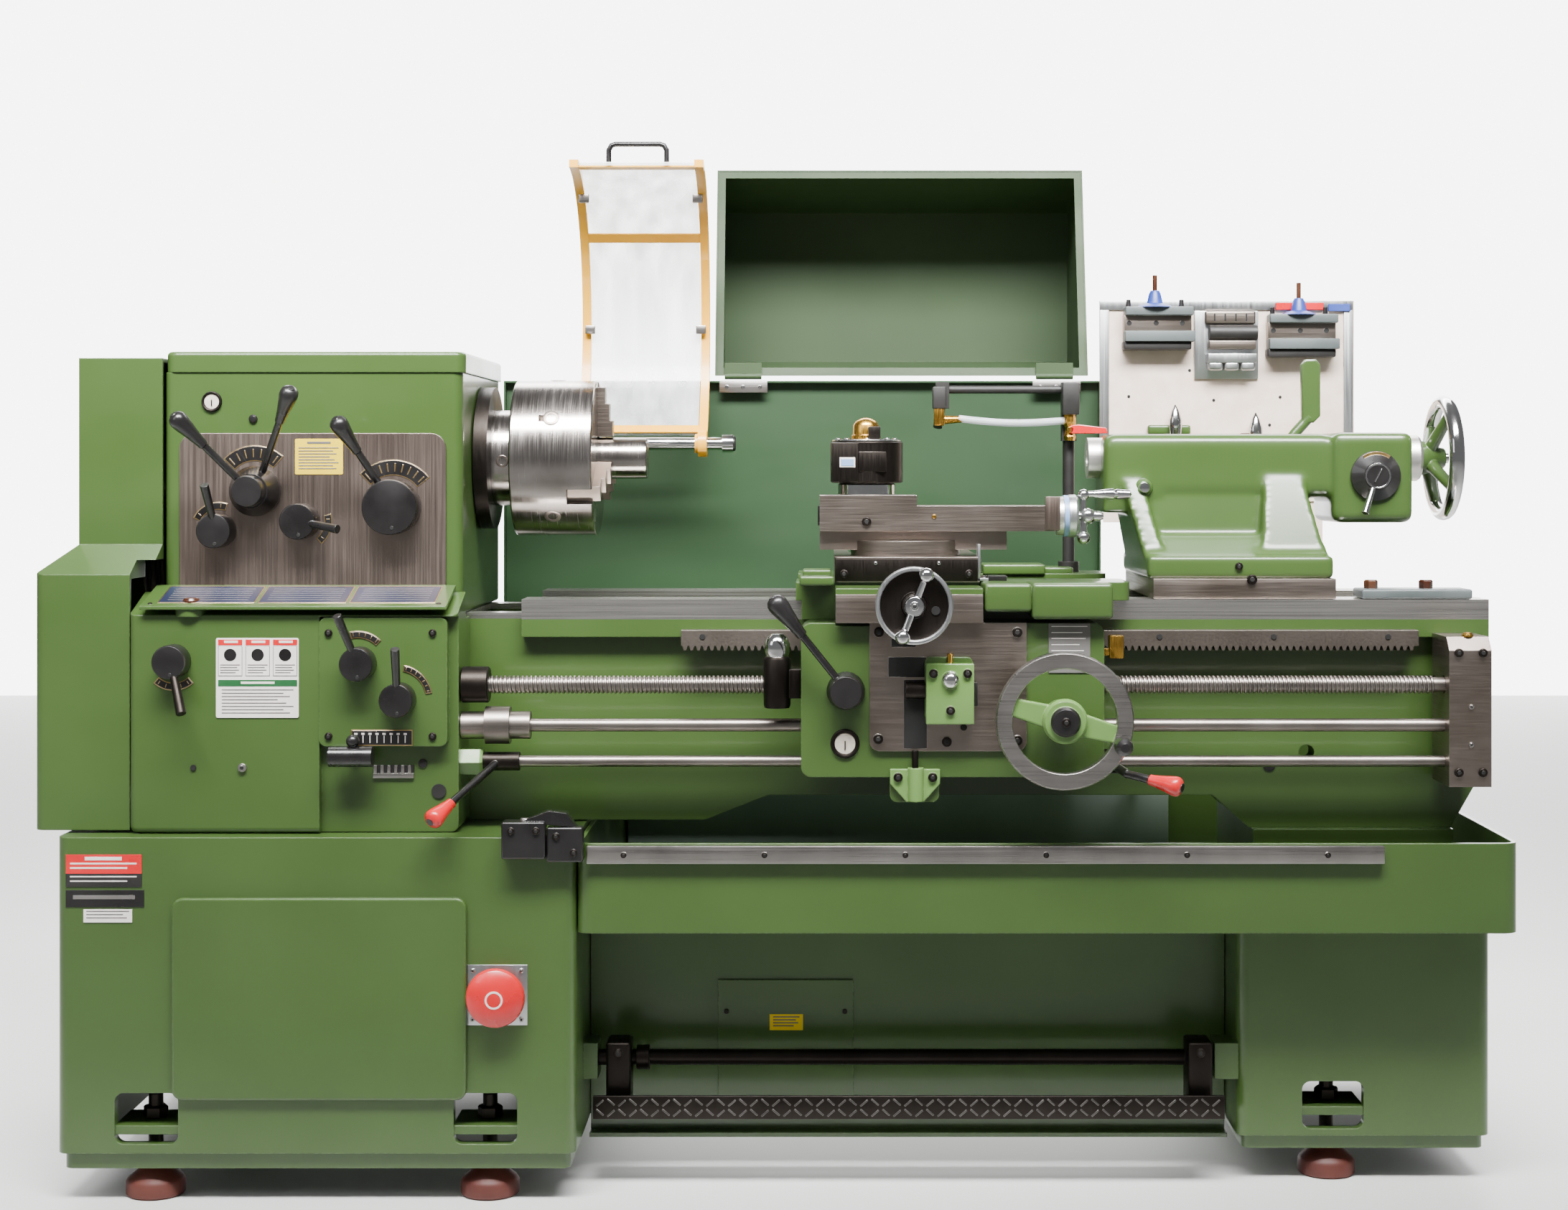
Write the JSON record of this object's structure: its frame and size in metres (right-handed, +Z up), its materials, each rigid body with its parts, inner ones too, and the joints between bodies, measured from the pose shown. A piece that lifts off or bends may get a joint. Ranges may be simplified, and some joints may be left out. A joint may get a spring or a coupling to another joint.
{
  "type": "metal lathe",
  "caption": "Manual metal-turning lathe on two cabinet pedestals: geared headstock with jawed chuck, carriage with compound slide, tailstock, lead rods, folding guards and chip tray.",
  "frame": {"origin": "centre of the footprint, on the floor", "axes": "+X along the bed from headstock to tailstock, -Y towards the operator, +Z up"},
  "size_m": [2.024, 1.1, 1.492],
  "materials": {
    "black_oxide": "blackened steel",
    "black_plastic": "moulded phenolic",
    "chrome": "polished plating",
    "clear_sheet": "clear polycarbonate",
    "foot_pad": "dark rubber",
    "green_enamel": "gloss enamel on cast iron and sheet",
    "ground_steel": "ground and turned steel",
    "pale_sheet": "pale painted sheet",
    "red_plastic": "moulded",
    "yellow_enamel": "enamel"
  },
  "bodies": {
    "machine": {"left_pedestal": "green_enamel", "right_pedestal": "green_enamel", "stand_rear_panel": "green_enamel", "chip_tray": "green_enamel", "levelling_feet": "foot_pad", "bed": "green_enamel", "feed_rack": "ground_steel", "headstock_casting": "green_enamel", "headstock_cover": "green_enamel", "feed_gearbox": "green_enamel", "screw_end_bracket": "black_oxide", "electrics_cabinet": "green_enamel", "drive_motor": "green_enamel", "splash_guard": "green_enamel", "guard_rod": "ground_steel", "tool_board": "pale_sheet"},
    "motor_pulley": {"motor_pulley": "ground_steel"},
    "input_pulley": {"input_pulley": "ground_steel"},
    "gear_cover": {"gear_cover": "green_enamel"},
    "spindle": {"spindle": "ground_steel", "chuck_backplate": "ground_steel", "chuck_body": "ground_steel"},
    "jaw_1": {"chuck_jaw_1": "ground_steel"},
    "jaw_2": {"chuck_jaw_2": "ground_steel"},
    "jaw_3": {"chuck_jaw_3": "ground_steel"},
    "leadscrew": {"leadscrew": "ground_steel"},
    "feed_rod": {"feed_rod": "ground_steel"},
    "control_rod": {"control_rod": "ground_steel"},
    "tumbler_plunger": {"tumbler_plunger": "black_plastic"},
    "carriage": {"saddle": "green_enamel", "apron": "green_enamel", "coolant_pipe": "black_oxide"},
    "apron_handwheel": {"apron_handwheel": "chrome"},
    "half_nut_lever": {"half_nut_lever": "black_plastic"},
    "apron_control_lever": {"apron_control_lever": "red_plastic"},
    "coolant_tap": {"coolant_tap": "red_plastic"},
    "cross_slide": {"cross_slide": "black_oxide"},
    "cross_handwheel": {"cross_handwheel": "chrome"},
    "compound": {"compound_swivel": "ground_steel"},
    "top_slide": {"top_slide": "ground_steel"},
    "compound_crank": {"compound_crank": "chrome"},
    "tool_post": {"tool_post": "ground_steel"},
    "tailstock": {"tailstock_body": "green_enamel"},
    "quill": {"quill": "ground_steel"},
    "tailstock_handwheel": {"tailstock_handwheel": "chrome"},
    "tailstock_clamp_lever": {"tailstock_clamp_lever": "green_enamel"},
    "tailstock_knob": {"tailstock_knob": "black_plastic"},
    "hood": {"hood": "green_enamel"},
    "chuck_guard": {"guard_frame": "yellow_enamel", "guard_window": "clear_sheet"},
    "estop_button": {"estop_button": "red_plastic"},
    "foot_brake": {"foot_brake": "black_oxide"},
    "speed_lever_left": {"speed_lever_left": "black_plastic"},
    "speed_lever_right": {"speed_lever_right": "black_plastic"},
    "range_lever": {"range_lever": "black_plastic"},
    "feed_direction_lever": {"feed_direction_lever": "black_plastic"},
    "feed_range_lever": {"feed_range_lever": "black_plastic"},
    "gearbox_lever_1": {"gearbox_lever_1": "black_plastic"},
    "gearbox_lever_2": {"gearbox_lever_2": "black_plastic"},
    "gearbox_lever_3": {"gearbox_lever_3": "black_plastic"}
  },
  "joints": [
    {"name": "spindle_spin", "type": "hinge", "parent": "machine", "child": "spindle", "pos_m": [-0.3, -0.14, 1.01], "axis": [1, 0, 0], "continuous": true},
    {"name": "input_pulley_spin", "type": "hinge", "parent": "machine", "child": "input_pulley", "pos_m": [-0.92, -0.03, 0.86], "axis": [1, 0, 0], "continuous": true},
    {"name": "motor_spin", "type": "hinge", "parent": "machine", "child": "motor_pulley", "pos_m": [-0.92, -0.03, 0.33], "axis": [1, 0, 0], "continuous": true},
    {"name": "gear_cover_open", "type": "hinge", "parent": "machine", "child": "gear_cover", "pos_m": [-0.868, 0.072, 0.8], "axis": [0, 0, -1], "range_deg": [0, 100]},
    {"name": "jaw_1_open", "type": "slide", "parent": "spindle", "child": "jaw_1", "axis": [0, 0, 1], "range_m": [0, 0.006]},
    {"name": "jaw_2_open", "type": "slide", "parent": "spindle", "child": "jaw_2", "axis": [0, -0.866, -0.5], "range_m": [0, 0.006]},
    {"name": "jaw_3_open", "type": "slide", "parent": "spindle", "child": "jaw_3", "axis": [0, 0.866, -0.5], "range_m": [0, 0.006]},
    {"name": "leadscrew_spin", "type": "hinge", "parent": "machine", "child": "leadscrew", "pos_m": [0, -0.37, 0.696], "axis": [1, 0, 0], "continuous": true},
    {"name": "feed_rod_spin", "type": "hinge", "parent": "machine", "child": "feed_rod", "pos_m": [0, -0.37, 0.64], "axis": [1, 0, 0], "continuous": true},
    {"name": "control_rod_turn", "type": "hinge", "parent": "machine", "child": "control_rod", "pos_m": [-0.38, -0.37, 0.59], "axis": [1, 0, 0], "range_deg": [-15, 15]},
    {"name": "speed_lever_left_turn", "type": "hinge", "parent": "machine", "child": "speed_lever_left", "pos_m": [-0.723, -0.35, 0.963], "axis": [0, 1, 0], "range_deg": [-12, 12]},
    {"name": "speed_lever_right_turn", "type": "hinge", "parent": "machine", "child": "speed_lever_right", "pos_m": [-0.723, -0.35, 0.963], "axis": [0, 1, 0], "range_deg": [-12, 12]},
    {"name": "range_lever_turn", "type": "hinge", "parent": "machine", "child": "range_lever", "pos_m": [-0.531, -0.35, 0.941], "axis": [0, 1, 0], "range_deg": [-12, 12]},
    {"name": "feed_direction_lever_turn", "type": "hinge", "parent": "machine", "child": "feed_direction_lever", "pos_m": [-0.775, -0.35, 0.908], "axis": [0, 1, 0], "range_deg": [-15, 15]},
    {"name": "feed_range_lever_turn", "type": "hinge", "parent": "machine", "child": "feed_range_lever", "pos_m": [-0.659, -0.35, 0.921], "axis": [0, 1, 0], "range_deg": [-15, 15]},
    {"name": "gearbox_lever_1_turn", "type": "hinge", "parent": "machine", "child": "gearbox_lever_1", "pos_m": [-0.817, -0.35, 0.732], "axis": [0, 1, 0], "range_deg": [-20, 20]},
    {"name": "gearbox_lever_2_turn", "type": "hinge", "parent": "machine", "child": "gearbox_lever_2", "pos_m": [-0.563, -0.35, 0.729], "axis": [0, 1, 0], "range_deg": [-15, 15]},
    {"name": "gearbox_lever_3_turn", "type": "hinge", "parent": "machine", "child": "gearbox_lever_3", "pos_m": [-0.509, -0.35, 0.68], "axis": [0, 1, 0], "range_deg": [-15, 15]},
    {"name": "tumbler_shift", "type": "slide", "parent": "machine", "child": "tumbler_plunger", "axis": [1, 0, 0], "range_m": [0, 0.03]},
    {"name": "carriage_travel", "type": "slide", "parent": "machine", "child": "carriage", "axis": [1, 0, 0], "range_m": [-0.2, 0.003]},
    {"name": "apron_wheel_turn", "type": "hinge", "parent": "carriage", "child": "apron_handwheel", "pos_m": [0.391, -0.49, 0.658], "axis": [0, 1, 0], "range_deg": [-470, 20]},
    {"name": "half_nut_turn", "type": "hinge", "parent": "carriage", "child": "half_nut_lever", "pos_m": [0.1, -0.43, 0.692], "axis": [0, 1, 0], "range_deg": [-25, 5]},
    {"name": "apron_control_turn", "type": "hinge", "parent": "carriage", "child": "apron_control_lever", "pos_m": [0.466, -0.37, 0.59], "axis": [1, 0, 0], "range_deg": [-16, 16]},
    {"name": "coolant_tap_turn", "type": "hinge", "parent": "carriage", "child": "coolant_tap", "pos_m": [0.446, -0.009, 1.056], "axis": [0, 1, 0], "range_deg": [-60, 0]},
    {"name": "cross_wheel_turn", "type": "hinge", "parent": "carriage", "child": "cross_handwheel", "pos_m": [0.191, -0.49, 0.811], "axis": [0, 1, 0], "range_deg": [-5850, 375]},
    {"name": "cross_slide_travel", "type": "slide", "parent": "carriage", "child": "cross_slide", "axis": [0, 1, 0], "range_m": [-0.081, 0.005]},
    {"name": "compound_swivel_turn", "type": "hinge", "parent": "cross_slide", "child": "compound", "pos_m": [0.186, -0.265, 0.88], "axis": [0, 0, 1], "range_deg": [-60, 0]},
    {"name": "top_slide_travel", "type": "slide", "parent": "compound", "child": "top_slide", "axis": [1, 0, 0], "range_m": [-0.051, 0.004]},
    {"name": "compound_crank_turn", "type": "hinge", "parent": "top_slide", "child": "compound_crank", "pos_m": [0.44, -0.265, 0.927], "axis": [1, 0, 0], "range_deg": [-6140, 500]},
    {"name": "tool_post_index", "type": "hinge", "parent": "top_slide", "child": "tool_post", "pos_m": [0.131, -0.265, 1], "axis": [0, 0, 1], "range_deg": [-90, 90]},
    {"name": "tailstock_travel", "type": "slide", "parent": "machine", "child": "tailstock", "axis": [1, 0, 0], "range_m": [-0.02, 0.03]},
    {"name": "tailstock_wheel_turn", "type": "hinge", "parent": "tailstock", "child": "tailstock_handwheel", "pos_m": [0.98, -0.14, 1.01], "axis": [-1, 0, 0], "range_deg": [0, 6480]},
    {"name": "quill_travel", "type": "slide", "parent": "tailstock", "child": "quill", "axis": [-1, 0, 0], "range_m": [0, 0.091]},
    {"name": "tailstock_clamp_turn", "type": "hinge", "parent": "tailstock", "child": "tailstock_clamp_lever", "pos_m": [0.772, -0.04, 1.03], "axis": [0, 1, 0], "range_deg": [-25, 25]},
    {"name": "tailstock_knob_turn", "type": "hinge", "parent": "tailstock", "child": "tailstock_knob", "pos_m": [0.867, -0.22, 0.984], "axis": [0, 1, 0], "range_deg": [-30, 30]},
    {"name": "hood_fold", "type": "hinge", "parent": "machine", "child": "hood", "pos_m": [0.2, 0.232, 1.145], "axis": [1, 0, 0], "range_deg": [0, 100]},
    {"name": "chuck_guard_close", "type": "hinge", "parent": "machine", "child": "chuck_guard", "pos_m": [-0.2, 0.095, 1.034], "axis": [1, 0, 0], "range_deg": [0, 60]},
    {"name": "estop_press", "type": "slide", "parent": "machine", "child": "estop_button", "axis": [0, 1, 0], "range_m": [0, 0.005], "stiffness_N_per_m": 1500, "springref_m": -0.002},
    {"name": "foot_brake_press", "type": "hinge", "parent": "machine", "child": "foot_brake", "pos_m": [0.18, -0.31, 0.167], "axis": [1, 0, 0], "range_deg": [0, 8], "stiffness_Nm_per_rad": 60, "springref_deg": -14.32}
  ],
  "couplings": [
    {"joint": "input_pulley_spin", "follows": "spindle_spin", "ratio": -1.5},
    {"joint": "motor_spin", "follows": "spindle_spin", "ratio": -2.4},
    {"joint": "jaw_2_open", "follows": "jaw_1_open", "ratio": 1},
    {"joint": "jaw_3_open", "follows": "jaw_1_open", "ratio": 1},
    {"joint": "apron_control_turn", "follows": "control_rod_turn", "ratio": 1},
    {"joint": "apron_wheel_turn", "follows": "carriage_travel", "rad_per_m": 40},
    {"joint": "cross_wheel_turn", "follows": "cross_slide_travel", "rad_per_m": 1256.6},
    {"joint": "compound_crank_turn", "follows": "top_slide_travel", "rad_per_m": 2094.4},
    {"joint": "quill_travel", "follows": "tailstock_wheel_turn", "m_per_rad": 0.00079577}
  ]
}
